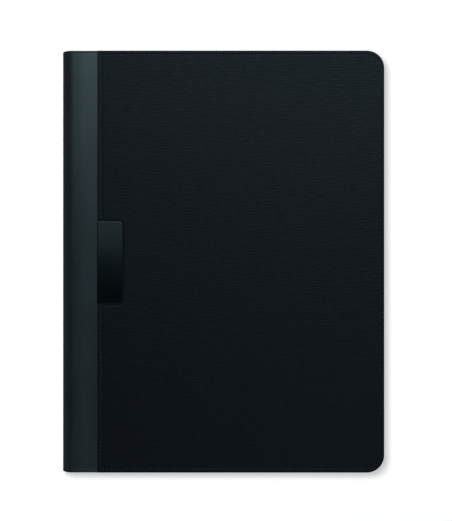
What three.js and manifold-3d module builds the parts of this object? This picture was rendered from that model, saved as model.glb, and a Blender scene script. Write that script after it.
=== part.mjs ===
// A padfolio that lies closed on its back cover. Two boards are wrapped in grained covering, and a smooth strip
// joins them: it is lapped by the covering on both covers and rolls round the spine between them.
// The back cover carries a writing pad, held by its backing board in a pocket, with a pen loop beside the spine.
// The front cover has a document pocket and two card pockets inside, and a glossy plate outside.
// Millimetres. X runs from the spine to the fore-edge, Y up the page and Z from the back cover to the front one.
import * as THREE from "three";
import { mergeVertices } from "three/addons/utils/BufferGeometryUtils.js";
import Module from "manifold-3d";

const wasm = await Module();
wasm.setup();

// Covers
const cornerRadius = 13;
const boardThickness = 1.8;
const boardSetback = 1.6; // from the centre of the spine's roll to the boards
const coveringThickness = 1.4;
const foldThickness = 1.2; // covering round the boards' edges
const rimRounding = 1.1;
const hemWidth = 4.8;
const hemThickness = 0.6;

// Spine strip
const stripWidth = 26; // what shows of it on each cover
const stripThickness = 0.8;
const stripLap = 8; // what the covering hides of it
const stripSetIn = 0.4; // its ends stop this far inside the covering's
const flexAngle = Math.PI / 4; // where it bends, from the foot and the head of the roll

// Lining
const liningThickness = 0.6;
const liningSetIn = 1.6;
const liningLap = 1.7; // past the hems, down on to the boards

// Writing pad
const padWidth = 210;
const padHeight = 297;
const backingThickness = 1;
const paperThickness = 5;
const paperRamp = 5.6; // the sheets come down over this length past the pocket's mouth
const tapeThickness = 0.2;
const tapeWidth = 20;
const tapeUnder = 12;

// Pockets and pen loop
const padPocketMouth = 60; // above the middle of the page
const padPocketThickness = 0.8;
const documentMouth = 16;
const documentThickness = 0.8;
const thumbRadius = 11;
const cardWidth = 100;
const cardHeadMargin = 41.5;
const cardUpperHeight = 64;
const cardLowerHeight = 42;
const cardThickness = 0.6;
const cardRoom = 0.4;
const cardSeam = 3;
const cardMiddle = 9; // across the page, from the middle of the cover
const sideSeam = 2.4; // the pockets' seams beside the spine
const pocketSetIn = 2.2;
const loopWidth = 8.2;
const loopHeight = 7.6;
const loopLength = 22;
const loopThickness = 0.8;
const loopFoot = 5.6;

// Plate on the front cover
const plateWidth = 19;
const plateHeight = 62;
const plateThickness = 0.7;
const plateDrop = 0.9; // its middle is this far below the page's
const plateOverhang = 0.3; // past the covering's edge
const plateRadius = 3;
const plateNearRadius = 0.8;
const plateRounding = 0.25;

// Clearances
const gap = 0.3; // between pieces that meet at a curved or cut face
const padClearance = 0.4; // at the pad's sides
const padEndClearance = 1; // at its head and tail
const loopClearance = 0.55; // on each side of the pen loop
const closedClearance = 0.4; // between the pad and the pockets over it

// Levels, measured in from a cover's outer face
const stripFace = coveringThickness - stripThickness;
const boardFace = coveringThickness;
const boardInside = boardFace + boardThickness;
const hemFace = boardInside + hemThickness;
const liningFace = boardInside + liningThickness;
const ridgeFace = hemFace + liningThickness;
const backingBottom = liningFace + tapeThickness;
const backingTop = backingBottom + backingThickness;
const padPocketFace = Math.max(backingTop, ridgeFace) + padPocketThickness;
const paperTop = padPocketFace + paperThickness;
const documentFace = ridgeFace + documentThickness;
const cardUpperFace = liningFace + cardRoom + cardThickness;
const cardLowerFace = cardUpperFace + cardRoom + cardThickness;
const frontStack = Math.max(documentFace, cardLowerFace);
const thickness = paperTop + closedClearance + frontStack;

// The covers are sized round the pad, the pen loop beside it and the spine's roll.
const rollRadius = thickness / 2 - stripFace;
const hemInset = foldThickness + hemWidth;
const ridgeInset = hemInset + gap + liningLap;
const boardStart = rollRadius + boardSetback;
const loopRoom = loopWidth + 2 * loopClearance;
const padRoom = sideSeam + padWidth + 2 * padClearance;
const coverWidth = boardStart + loopRoom + padRoom + ridgeInset;
const coverHeight = padHeight + 2 * (padEndClearance + ridgeInset);

// Places across the page
const spineX = -coverWidth / 2;
const foreX = coverWidth / 2;
const halfHeight = coverHeight / 2;
const cardBottom = halfHeight - cardHeadMargin - cardUpperHeight;
const rollX = spineX + rollRadius;
const rollZ = thickness / 2;
const boardX = spineX + boardStart;
const coveringX = spineX + stripWidth;
const stripHalf = halfHeight - stripSetIn;
const liningHalf = halfHeight - liningSetIn;
const boardSetIn = foldThickness + gap;
const hemHalf = halfHeight - hemInset;
const padRight = foreX - ridgeInset - padClearance;
const padLeft = padRight - padWidth;
const padHalf = padHeight / 2;
const pocketX = padLeft - padClearance - sideSeam;
const liningRadius = rollRadius - stripThickness - hemThickness - gap;

// A closed mesh as a solid that can be joined and cut.
function solid(geometry) {
  geometry.deleteAttribute("normal");
  geometry.deleteAttribute("uv");
  const merged = mergeVertices(geometry, 1e-4);
  return new wasm.Manifold(
    new wasm.Mesh({
      numProp: 3,
      vertProperties: merged.getAttribute("position").array,
      triVerts: new Uint32Array(merged.index.array),
    }),
  );
}

// Coordinates are rounded to a ten-thousandth of a millimetre, so that faces meant to touch lie at one height.
function geometryOf(made) {
  const mesh = made.getMesh();
  const count = mesh.numVert;
  const position = new Float32Array(count * 3);
  for (let i = 0; i < count * 3; i++) {
    const value = mesh.vertProperties[Math.floor(i / 3) * mesh.numProp + (i % 3)];
    position[i] = Math.round(value * 1e4) / 1e4;
  }
  const geometry = new THREE.BufferGeometry();
  geometry.setAttribute("position", new THREE.BufferAttribute(position, 3));
  geometry.setIndex(new THREE.BufferAttribute(new Uint32Array(mesh.triVerts), 1));
  geometry.computeVertexNormals();
  return geometry;
}

// A shape drawn on XY and carried from z0 to z1, with its rims rounded where a rounding is given.
function prismZ(shape, z0, z1, rounding = 0) {
  const geometry = new THREE.ExtrudeGeometry(shape, {
    depth: z1 - z0 - 2 * rounding,
    curveSegments: 10,
    bevelEnabled: rounding > 0,
    bevelThickness: rounding,
    bevelSize: rounding,
    bevelOffset: -rounding,
    bevelSegments: 3,
  });
  geometry.translate(0, 0, z0 + rounding);
  return solid(geometry);
}

// A section drawn on YZ and carried from x0 to x1.
function prismX(shape, x0, x1) {
  const geometry = new THREE.ExtrudeGeometry(shape, { depth: x1 - x0, curveSegments: 6, bevelEnabled: false });
  geometry.applyMatrix4(new THREE.Matrix4().set(0, 0, 1, x0, 1, 0, 0, 0, 0, 1, 0, 0, 0, 0, 0, 1));
  return solid(geometry);
}

// A section drawn on XZ and carried from y0 to y1.
function prismY(shape, y0, y1, curveSegments = 8) {
  const geometry = new THREE.ExtrudeGeometry(shape, { depth: y1 - y0, curveSegments, bevelEnabled: false });
  geometry.rotateX(Math.PI / 2);
  geometry.translate(0, y1, 0);
  return solid(geometry);
}

function box(x0, x1, y0, y1, z0, z1) {
  const geometry = new THREE.BoxGeometry(x1 - x0, y1 - y0, z1 - z0);
  geometry.translate((x0 + x1) / 2, (y0 + y1) / 2, (z0 + z1) / 2);
  return solid(geometry);
}

// A page's area with square corners, as the hems' inner edges have.
function pageBox(left, inset, z0, z1) {
  return box(left, foreX - inset, inset - halfHeight, halfHeight - inset, z0, z1);
}

function polygon(points) {
  return new THREE.Shape(points.map(([x, y]) => new THREE.Vector2(x, y)));
}

// A page with its two fore-edge corners rounded, set in from the cover's edges.
function pageOutline(left, inset) {
  const right = foreX - inset;
  const half = halfHeight - inset;
  const radius = cornerRadius - inset;
  const shape = new THREE.Shape();
  shape.moveTo(left, half);
  shape.lineTo(left, -half);
  shape.absarc(right - radius, radius - half, radius, -Math.PI / 2, 0);
  shape.absarc(right - radius, half - radius, radius, 0, Math.PI / 2);
  return shape;
}

// The lower part of a page, up to a pocket's mouth.
function pocketOutline(left, mouth) {
  const right = foreX - pocketSetIn;
  const foot = pocketSetIn - halfHeight;
  const radius = cornerRadius - pocketSetIn;
  const shape = new THREE.Shape();
  shape.moveTo(left, mouth);
  shape.lineTo(left, foot);
  shape.absarc(right - radius, foot + radius, radius, -Math.PI / 2, 0);
  shape.lineTo(right, mouth);
  return shape;
}

// Grained covering: it wraps the board's head, tail and fore-edge, and is pared where it laps the strip.
function covering() {
  const outside = prismZ(pageOutline(coveringX, 0), 0, hemFace, rimRounding);
  const open = coveringX - gap;
  const boardRoom = prismZ(pageOutline(open, foldThickness), boardFace, boardInside);
  const hemOpening = pageBox(open, hemInset, boardInside - gap, hemFace + gap);
  const lapHalf = halfHeight - foldThickness;
  const lapEnd = coveringX + stripLap + gap;
  const lapRoom = box(open, lapEnd, -lapHalf, lapHalf, stripFace, boardFace + gap);
  return outside.subtract(boardRoom).subtract(hemOpening).subtract(lapRoom);
}

function board() {
  return prismZ(pageOutline(boardX, boardSetIn), boardFace, boardInside);
}

// Part of the roll round the spine, as a band between two radii and two angles from its foot.
function rollSection(outer, inner, start, end) {
  const shape = new THREE.Shape();
  const turn = (angle) => -Math.PI / 2 - angle;
  shape.absarc(rollX, rollZ, outer, turn(start), turn(end), true);
  shape.absarc(rollX, rollZ, inner, turn(end), turn(start), false);
  return shape;
}

// The strip on one roll section, turned in and doubled at the head and the tail.
function rolledStrip(start, end) {
  const inner = rollRadius - stripThickness;
  const face = rollSection(rollRadius, inner, start, end);
  const doubled = rollSection(rollRadius, inner - hemThickness, start, end);
  return prismY(face, -stripHalf, stripHalf)
    .add(prismY(doubled, hemHalf, stripHalf))
    .add(prismY(doubled, -stripHalf, -hemHalf));
}

// The strip's section over a board's head or tail: a rounded wrap, from which the board's room is cut.
function stripWrapSection() {
  const r = rimRounding;
  const shape = new THREE.Shape();
  shape.absarc(stripHalf - r, hemFace - r, r, 0, Math.PI / 2);
  shape.absarc(r - stripHalf, hemFace - r, r, Math.PI / 2, Math.PI);
  shape.absarc(r - stripHalf, stripFace + r, r, Math.PI, 1.5 * Math.PI);
  shape.absarc(stripHalf - r, stripFace + r, r, 1.5 * Math.PI, 2 * Math.PI);
  return shape;
}

// One cover's share of the strip: the lapped flange, the wraps round the board's ends and the roll to the flex line.
function coverStrip() {
  const boardHalf = halfHeight - boardSetIn;
  const wrapEnd = coveringX - gap;
  const wrap = prismX(stripWrapSection(), boardX, wrapEnd);
  const boardRoom = box(boardX - gap, wrapEnd + gap, -boardHalf - gap, boardHalf + gap, boardFace, boardInside);
  const opening = box(boardX - gap, wrapEnd + gap, -hemHalf, hemHalf, boardInside - gap, hemFace + gap);
  const lapped = box(boardX, coveringX + stripLap, -boardHalf, boardHalf, stripFace, boardFace);
  const root = box(rollX, boardX + gap, -stripHalf, stripHalf, stripFace, boardFace);
  const flex = flexAngle - gap / 2 / rollRadius;
  return wrap.subtract(boardRoom).subtract(opening).add(lapped).add(root).add(rolledStrip(0, flex));
}

function spineStrip() {
  const slit = gap / 2 / rollRadius;
  return rolledStrip(flexAngle + slit, Math.PI - flexAngle - slit);
}

// The lining's section from the board down into the roll, to the flex line.
function liningRollSection(face) {
  const end = flexAngle - gap / 2 / liningRadius;
  const turn = (angle) => -Math.PI / 2 - angle;
  const inner = liningRadius - liningThickness;
  const shape = new THREE.Shape();
  shape.moveTo(boardX, face);
  shape.lineTo(boardX, boardInside);
  shape.absarc(rollX, rollZ, liningRadius, turn(0), turn(end), true);
  shape.absarc(rollX, rollZ, inner, turn(end), turn(0), false);
  return shape;
}

// One cover's lining: it lies on the board, climbs over the hems and follows the roll to the flex line.
function coverLining() {
  const left = boardX - boardSetback / 4;
  const over = prismZ(pageOutline(left, liningSetIn), hemFace, ridgeFace);
  const seat = pageBox(left, hemInset + gap, boardInside, ridgeFace);
  const hollow = pageBox(left - gap, ridgeInset, liningFace, ridgeFace + gap);
  const ridgeFoot = halfHeight - ridgeInset;
  const roll = prismY(liningRollSection(liningFace), -liningHalf, liningHalf);
  const head = prismY(liningRollSection(ridgeFace), ridgeFoot, liningHalf);
  const tail = prismY(liningRollSection(ridgeFace), -liningHalf, -ridgeFoot);
  return over.add(seat).subtract(hollow).add(roll).add(head).add(tail);
}

function spineLining() {
  const start = flexAngle + gap / 2 / liningRadius;
  const section = rollSection(liningRadius, liningRadius - liningThickness, start, Math.PI - start);
  return prismY(section, -liningHalf, liningHalf);
}

// A seam beside the spine, down from a pocket's sheet to the lining.
function sideSeamStrip(mouth, sheetBottom) {
  const foot = ridgeInset + gap - halfHeight;
  return box(pocketX, pocketX + sideSeam, foot, mouth, liningFace, sheetBottom + gap);
}

function padPocket() {
  const sheetBottom = padPocketFace - padPocketThickness;
  const body = prismZ(pocketOutline(pocketX, padPocketMouth), ridgeFace, padPocketFace);
  const right = padRight + padClearance;
  const foot = -padHalf - padClearance;
  const over = padPocketMouth + gap;
  const room = box(pocketX + sideSeam, right, foot, over, ridgeFace - gap, sheetBottom);
  return body.subtract(room).add(sideSeamStrip(padPocketMouth, sheetBottom));
}

// The document pocket's sheet, with a round cut for the thumb in the middle of its mouth.
function documentPocket() {
  const sheet = prismZ(pocketOutline(pocketX, documentMouth), ridgeFace, documentFace);
  const thumb = new THREE.Shape();
  thumb.absarc((pocketX + foreX) / 2, documentMouth, thumbRadius, 0, 2 * Math.PI);
  const cut = prismZ(thumb, ridgeFace - gap, documentFace + gap);
  return sheet.subtract(cut).add(sideSeamStrip(documentMouth, ridgeFace));
}

// A card pocket: a sheet on seams at its foot and sides, open at its mouth.
function cardPocket(seat, height) {
  const left = cardMiddle - cardWidth / 2;
  const right = cardMiddle + cardWidth / 2;
  const mouth = cardBottom + height;
  const sheetBottom = seat + cardRoom;
  const body = box(left, right, cardBottom, mouth, seat, sheetBottom + cardThickness);
  const foot = cardBottom + cardSeam;
  const room = box(left + cardSeam, right - cardSeam, foot, mouth + gap, seat - gap, sheetBottom);
  return body.subtract(room);
}

function padBacking() {
  return box(padLeft, padRight, -padHalf, padHalf, backingBottom, backingTop);
}

// The sheets lie on the pocket and come down on to the backing board past its mouth.
function padSheets() {
  const bend = padPocketMouth + padClearance;
  const flat = bend + paperRamp;
  const headTop = backingTop + paperThickness;
  return prismX(
    polygon([
      [-padHalf, padPocketFace],
      [bend, padPocketFace],
      [flat, backingTop],
      [padHalf, backingTop],
      [padHalf, headTop],
      [flat, headTop],
      [bend, paperTop],
      [-padHalf, paperTop],
    ]),
    padLeft,
    padRight,
  );
}

// The tape round the pad's head, from the top sheet to the back of the backing board.
function padTape() {
  const top = backingTop + paperThickness;
  const head = padHalf + tapeThickness;
  const over = box(padLeft, padRight, padHalf - tapeWidth, head, top, top + tapeThickness);
  const end = box(padLeft, padRight, padHalf, head, liningFace, top + tapeThickness);
  const under = box(padLeft, padRight, padHalf - tapeUnder, head, liningFace, backingBottom);
  return over.add(end).add(under);
}

// Elastic sewn down at its foot, in the channel between the board's edge and the pad pocket.
function penLoop() {
  const x = (boardX + pocketX) / 2;
  const z = liningFace + loopHeight / 2;
  const shape = new THREE.Shape();
  shape.absellipse(x, z, loopWidth / 2, loopHeight / 2, 0, 2 * Math.PI);
  const hole = new THREE.Path();
  const holeWidth = loopWidth / 2 - loopThickness;
  hole.absellipse(x, z, holeWidth, loopHeight / 2 - loopThickness, 0, 2 * Math.PI, true);
  shape.holes.push(hole);
  const half = loopLength / 2;
  const foot = box(x - loopFoot / 2, x + loopFoot / 2, -half, half, liningFace, liningFace + loopThickness);
  return prismY(shape, -half, half, 14).add(foot);
}

// The glossy plate, nearly square beside the spine and rounded towards the page.
function frontPlate() {
  const left = coveringX - plateOverhang;
  const right = left + plateWidth;
  const foot = -plateHeight / 2 - plateDrop;
  const head = plateHeight / 2 - plateDrop;
  const near = plateNearRadius;
  const far = plateRadius;
  const shape = new THREE.Shape();
  shape.absarc(left + near, foot + near, near, Math.PI, 1.5 * Math.PI);
  shape.absarc(right - far, foot + far, far, 1.5 * Math.PI, 2 * Math.PI);
  shape.absarc(right - far, head - far, far, 0, Math.PI / 2);
  shape.absarc(left + near, head - near, near, Math.PI / 2, Math.PI);
  const lens = prismZ(shape, -plateThickness, plateThickness, plateRounding);
  return lens.subtract(box(left - gap, right + gap, foot - gap, head + gap, 0, 2 * plateThickness));
}

const materials = {
  covering: new THREE.MeshStandardMaterial({ color: 0x16191b, roughness: 0.62, metalness: 0 }),
  strip: new THREE.MeshStandardMaterial({ color: 0x1d2124, roughness: 0.45, metalness: 0 }),
  board: new THREE.MeshStandardMaterial({ color: 0x8a8175, roughness: 0.95, metalness: 0 }),
  lining: new THREE.MeshStandardMaterial({ color: 0x24272b, roughness: 0.9, metalness: 0 }),
  pocket: new THREE.MeshStandardMaterial({ color: 0x1b1e21, roughness: 0.55, metalness: 0 }),
  backing: new THREE.MeshStandardMaterial({ color: 0x8f7f68, roughness: 0.95, metalness: 0 }),
  paper: new THREE.MeshStandardMaterial({ color: 0xf1efe8, roughness: 0.85, metalness: 0 }),
  tape: new THREE.MeshStandardMaterial({ color: 0x22252a, roughness: 0.7, metalness: 0 }),
  elastic: new THREE.MeshStandardMaterial({ color: 0x141517, roughness: 0.9, metalness: 0 }),
  plate: new THREE.MeshStandardMaterial({ color: 0x060607, roughness: 0.12, metalness: 0 }),
};

function piece(parent, name, made, material) {
  const mesh = new THREE.Mesh(geometryOf(made), materials[material]);
  mesh.name = name;
  parent.add(mesh);
}

const padfolio = new THREE.Group();

const backCover = new THREE.Group();
piece(backCover, "back_panel", covering(), "covering");
piece(backCover, "back_board", board(), "board");
piece(backCover, "back_band", coverStrip(), "strip");
piece(backCover, "back_lining", coverLining(), "lining");
piece(backCover, "pad_pocket", padPocket(), "pocket");
piece(backCover, "pad_backing", padBacking(), "backing");
piece(backCover, "pad_sheets", padSheets(), "paper");
piece(backCover, "pad_binding", padTape(), "tape");
piece(backCover, "pen_loop", penLoop(), "elastic");
padfolio.add(backCover);

const spine = new THREE.Group();
piece(spine, "spine_band", spineStrip(), "strip");
piece(spine, "spine_lining", spineLining(), "lining");
padfolio.add(spine);

// The front cover is the back one turned face to face with it, so its levels run down from the top.
const frontCover = new THREE.Group();
frontCover.scale.z = -1;
frontCover.position.z = thickness;
piece(frontCover, "front_panel", covering(), "covering");
piece(frontCover, "front_board", board(), "board");
piece(frontCover, "front_band", coverStrip(), "strip");
piece(frontCover, "front_lining", coverLining(), "lining");
piece(frontCover, "document_pocket", documentPocket(), "pocket");
piece(frontCover, "card_pocket_upper", cardPocket(liningFace, cardUpperHeight), "pocket");
piece(frontCover, "card_pocket_lower", cardPocket(cardUpperFace, cardLowerHeight), "pocket");
piece(frontCover, "front_plate", frontPlate(), "plate");
padfolio.add(frontCover);

export default padfolio;
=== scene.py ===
"""Looks of the padfolio: its coverings, the strip round the spine, the plate, the lining, pockets and pad.

Each cover is built in its own frame, with the depth measured in from its outer face, and is then placed
on its own side.
"""

import math

import bpy
import numpy as np
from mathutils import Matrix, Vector


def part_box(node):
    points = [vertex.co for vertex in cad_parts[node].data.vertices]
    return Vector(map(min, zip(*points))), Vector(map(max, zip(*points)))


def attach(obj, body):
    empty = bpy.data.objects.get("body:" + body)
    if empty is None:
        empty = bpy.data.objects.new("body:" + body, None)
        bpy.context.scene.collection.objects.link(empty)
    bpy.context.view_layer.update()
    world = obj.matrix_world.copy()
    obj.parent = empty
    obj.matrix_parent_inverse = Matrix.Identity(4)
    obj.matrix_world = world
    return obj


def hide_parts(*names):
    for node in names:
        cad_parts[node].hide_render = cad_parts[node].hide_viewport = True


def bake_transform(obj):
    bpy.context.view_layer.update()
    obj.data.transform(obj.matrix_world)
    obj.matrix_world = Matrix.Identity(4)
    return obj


bl_info = {
    "name": "Padfolio",
    "version": (1, 0, 0),
    "blender": (4, 5, 0),
    "location": "3D View > Sidebar > Padfolio",
    "description": "Dresses an A4 padfolio: coverings, spine band, plate, lining, pockets, pad and stitching",
    "category": "Object",
}

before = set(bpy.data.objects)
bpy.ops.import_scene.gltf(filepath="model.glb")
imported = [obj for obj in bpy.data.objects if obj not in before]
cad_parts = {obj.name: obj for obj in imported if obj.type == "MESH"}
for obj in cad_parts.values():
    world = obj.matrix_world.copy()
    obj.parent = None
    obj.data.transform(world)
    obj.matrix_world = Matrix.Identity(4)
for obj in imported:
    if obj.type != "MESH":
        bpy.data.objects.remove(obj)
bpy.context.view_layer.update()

# The frame's own places, in metres.
BACK_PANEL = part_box("back_panel")
FRONT_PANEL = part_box("front_panel")
FRONT_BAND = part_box("front_band")
SPINE_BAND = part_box("spine_band")
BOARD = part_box("back_board")
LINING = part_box("back_lining")
PAD_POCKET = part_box("pad_pocket")
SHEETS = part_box("pad_sheets")
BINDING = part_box("pad_binding")
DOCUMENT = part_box("document_pocket")
CARD_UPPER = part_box("card_pocket_upper")
CARD_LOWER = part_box("card_pocket_lower")
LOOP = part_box("pen_loop")
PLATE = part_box("front_plate")

THICKNESS = FRONT_PANEL[1][2]
SPINE_X = SPINE_BAND[0][0]
FORE_X = BACK_PANEL[1][0]
COVERING_X = BACK_PANEL[0][0]
HALF_HEIGHT = BACK_PANEL[1][1]
HEM_FACE = BACK_PANEL[1][2]
BOARD_X = BOARD[0][0]
RIDGE_FACE = LINING[1][2]
LINING_FACE = PAD_POCKET[0][2]
BAND_FACE = THICKNESS - FRONT_BAND[1][2]
BAND_HALF = SPINE_BAND[1][1]
LINING_HALF = LINING[1][1]
LINING_FORE = LINING[1][0]
ROLL_RADIUS = THICKNESS / 2 - BAND_FACE
ROLL_X = SPINE_X + ROLL_RADIUS
ROLL_Z = THICKNESS / 2

# Sizes that the frame doesn't give: lengths in metres and angles in radians.
CORNER_RADIUS = 0.013
RIM = 0.0011
HEM_WIDTH = 0.006
SHEET = 0.0003
BAND_SHEET = 0.0006
BAND_HEM = 0.0006
BAND_RIM = 0.0006
BAND_GROOVE = 0.4  # share of the seams' groove in the firmer strip
BAND_END = BAND_HALF + 0.0003  # the cloth stands this far past its solid
PLATE_CORNER = 0.003
BAND_THICKNESS = 0.0008
LINING_SHEET = 0.0005
ROLL_PULL = 0.0007  # the stitched ends of the roll draw in by this much at the spine
LAP = 0.008
RIDGE_INSET = 0.008
RIDGE_SLOPE = 0.0012
LINING_ROLL = 0.0056  # radius of the lining's inner face round the roll
GRID_STEP = 0.006  # between grid lines where a sheet is flat
SEAM_WIDTH = 0.00055  # a groove's half-width in a covering
FINE_SEAM_WIDTH = 0.0004  # and of one in the band or a pocket
LAP_ROUNDING = 0.0005  # radius of a covering's cut edge over the band
LAP_FALL = 0.6  # share of that rounding by which the edge falls
SEAT_OFFSET = 0.0003  # from the plate's edge to the middle of its pressed seat
SEAT_WIDTH = 0.0006
SEAT_DEPTH = 0.0004
POCKET_SHEET = 0.0006
CARD_SHEET = 0.0005
CARD_CORNER = 0.003
POCKET_HEM = 0.0032
POCKET_GROOVE = 0.6  # share of the seams' groove at a pocket's mouth
HEM_RISE = 0.00025  # how far a pocket's folded mouth stands proud
THUMB_RADIUS = 0.011
THUMB_FADE = 0.04  # height below the mouth over which the grid follows the thumb's cut
TAPE_SHEET = 0.00018
LEAF_COUNT = 42
LEAF_SHARE = 0.93  # of a leaf's room that its paper fills
LEAF_PLAY = 0.00013  # room at each side for the leaves to lie off their neighbours
RULE_SPACING = 0.008
RULE_SHARE = 0.022  # of the spacing that a rule's line takes up
RULE_COLOUR = (0.42, 0.52, 0.66)
HEAD_MARGIN = 0.032
LOOP_SHEET = 0.0008
LOOP_RIB = 0.00005
LOOP_CORDS = 18
SEAM_SINK = 0.5  # share of a groove's depth at which its stitches lie
PLATE_GAP = 0.0004  # from the plate's ends to the first and last stitch
CARD_SEAM = 0.0013  # from a card pocket's edge to its seam
POCKET_SEAM = 0.0012  # from a page-wide pocket's left edge to its seam
STITCH_INPUTS = ("Pitch", "Length", "Thread", "Slant")
PHOTO_SIZE = (452, 521)
PHOTO_MIDDLE = (223.4, 261.6)  # the pixel that the page's middle falls on
OVERHEAD_SPAN = 1.6
OVERHEAD_PEAK = 3.0
OVERHEAD_HEIGHT = 0.45


class SeamSettings(bpy.types.PropertyGroup):
    """Sizes of the stitching."""

    inset: bpy.props.FloatProperty(
        name="Inset", description="From a cover's edge to its seam", default=0.0030, unit="LENGTH"
    )
    side_inset: bpy.props.FloatProperty(
        name="Side inset",
        description="From a covering's lapped edge to its seam",
        default=0.0033,
        unit="LENGTH",
    )
    band_inset: bpy.props.FloatProperty(
        name="Band inset", description="From the band's ends to their seams", default=0.0020, unit="LENGTH"
    )
    pitch: bpy.props.FloatProperty(
        name="Pitch", description="From one stitch to the next", default=0.003, unit="LENGTH"
    )
    length: bpy.props.FloatProperty(
        name="Length", description="Length of one stitch", default=0.0020, unit="LENGTH"
    )
    thread: bpy.props.FloatProperty(
        name="Thread", description="Width of the thread", default=0.0006, unit="LENGTH"
    )
    groove: bpy.props.FloatProperty(
        name="Groove", description="How deep the seam pulls the sheet in", default=0.0003, unit="LENGTH"
    )
    slant: bpy.props.FloatProperty(
        name="Slant", description="Turn of a stitch from its seam", default=math.radians(9), unit="ROTATION"
    )


class FinishSettings(bpy.types.PropertyGroup):
    """Colours and roughness of the surfaces."""

    covering: bpy.props.FloatVectorProperty(
        name="Covering", description="Grained covering", default=(0.0014, 0.0012, 0.0026), subtype="COLOR"
    )
    band: bpy.props.FloatVectorProperty(
        name="Band", description="Smooth spine band", default=(0.0088, 0.0138, 0.0166), subtype="COLOR"
    )
    lining: bpy.props.FloatVectorProperty(
        name="Lining", description="Lining cloth", default=(0.012, 0.013, 0.015), subtype="COLOR"
    )
    thread: bpy.props.FloatVectorProperty(
        name="Thread", description="Stitching", default=(0.015, 0.019, 0.0215), subtype="COLOR"
    )
    paper: bpy.props.FloatVectorProperty(
        name="Paper", description="Writing paper", default=(0.83, 0.82, 0.77), subtype="COLOR"
    )
    grain_pitch: bpy.props.FloatProperty(
        name="Grain pitch", description="Between the covering's threads", default=0.0010, unit="LENGTH"
    )
    plate_roughness: bpy.props.FloatProperty(
        name="Plate roughness", description="How blurred the plate's reflection is", default=0.06
    )


class StageSettings(bpy.types.PropertyGroup):
    """Camera, floor and lights."""

    camera_height: bpy.props.FloatProperty(
        name="Camera height", description="From the front cover to the camera", default=2.6, unit="LENGTH"
    )
    pixel: bpy.props.FloatProperty(
        name="Pixel", description="Width of one pixel on the front cover", default=0.000746, unit="LENGTH"
    )
    overhead: bpy.props.FloatProperty(
        name="Overhead", description="Strength of the overhead panel", default=1.3
    )
    key: bpy.props.FloatProperty(name="Key", description="Power of the key light", default=25.0, unit="POWER")
    room: bpy.props.FloatProperty(name="Room", description="Strength of the room's light", default=0.055)
    glow: bpy.props.FloatProperty(name="Glow", description="Light of the floor itself", default=0.55)


def smooth(t):
    """0 below 0, 1 above 1 and a soft step between them."""
    t = np.clip(t, 0, 1)
    return t * t * (3 - 2 * t)


def bump_at(distance, width):
    """1 where distance is 0, falling to nothing over about two widths."""
    return np.exp(-((distance / width) ** 2))


# Meshes from grids

def linked(name, data):
    """A new object in the scene."""
    piece = bpy.data.objects.new(name, data)
    bpy.context.scene.collection.objects.link(piece)
    return piece


def turned_edge(q, rounding, depth):
    """Inset and depth of a sheet that turns round an edge, for a distance q inside it over the sheet."""
    rounding = np.minimum(rounding, depth / 2)
    quarter = rounding * math.pi / 2
    wall = depth - 2 * rounding
    past = rounding - q
    first = np.clip(past, 0, quarter) / rounding
    straight = np.clip(past - quarter, 0, wall)
    second = np.clip(past - quarter - wall, 0, quarter) / rounding
    under = np.maximum(past - 2 * quarter - wall, 0)
    inset = np.maximum(q, rounding) - rounding * np.sin(first) + rounding * (1 - np.cos(second)) + under
    down = rounding * (1 - np.cos(first)) + straight + rounding * np.sin(second)
    return inset, down


def edge_lines(rounding, depth, hem):
    """Distances at which grid lines turn a sheet round an edge and under by a hem, from the hem's end up."""
    quarter = rounding * math.pi / 2
    wall = depth - 2 * rounding
    turn = np.linspace(0, quarter, 7)
    past = [*turn, *(quarter + wall + turn), 2 * quarter + wall + hem - rounding]
    return [rounding - p for p in reversed(past)]


def seam_lines(inset, count=11, reach=0.0015):
    """Grid lines close together across a seam's groove."""
    return list(inset + np.linspace(-reach, reach, count))


def spread(start, end, step):
    """Evenly spaced values strictly between two ends."""
    count = max(1, round(abs(end - start) / step))
    return [start + (end - start) * i / count for i in range(1, count)]


def lines_between(start, near, end, far, step=GRID_STEP):
    """Grid lines from start to end: near inside the start, then evenly spaced, and far inside the end."""
    middle = spread(start + near[-1], end - far[-1], step)
    return np.array([*(start + v for v in near), *middle, *(end - v for v in reversed(far))])


def page_grid(px, py, fore, half, radius, profile):
    """Places grid points on a page with two rounded fore-edge corners.

    profile(q) gives the inset and depth of a point q inside the edge. Returns x, y, depth and q."""
    a = px - (fore - radius)
    b = np.abs(py) - (half - radius)
    corner = (a > 0) & (b > 0)
    q = np.where(corner, radius - np.maximum(a, b), np.minimum(fore - px, half - np.abs(py)))
    inset, depth = profile(q)
    on_fore = fore - px <= half - np.abs(py)
    x = np.where(on_fore, fore - inset, px)
    y = np.where(on_fore, py, np.sign(py) * (half - inset))
    high, low = np.maximum(a, b), np.minimum(a, b)
    ratio = np.where(corner, low / np.where(high > 0, high, 1), 0)
    angle = np.where(a >= b, ratio * math.pi / 4, math.pi / 2 - ratio * math.pi / 4)
    reach = radius - inset
    x = np.where(corner, fore - radius + reach * np.cos(angle), x)
    y = np.where(corner, np.sign(py) * (half - radius + reach * np.sin(angle)), y)
    return x, y, depth, q


def mesh_piece(name, vertices, faces, rounded=0):
    """A new object in the scene, of faces whose first ones, as many as rounded, are shaded smooth."""
    mesh = bpy.data.meshes.new(name)
    mesh.from_pydata(vertices, [], faces)
    mesh.polygons.foreach_set("use_smooth", [i < rounded for i in range(len(faces))])
    mesh.update()
    return linked(name, mesh)


def placed(x, y, depth, front):
    """Points given by their depth in a cover, in the row frame."""
    z = THICKNESS - depth if front else depth
    return np.stack([x, y, z], axis=-1)


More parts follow.
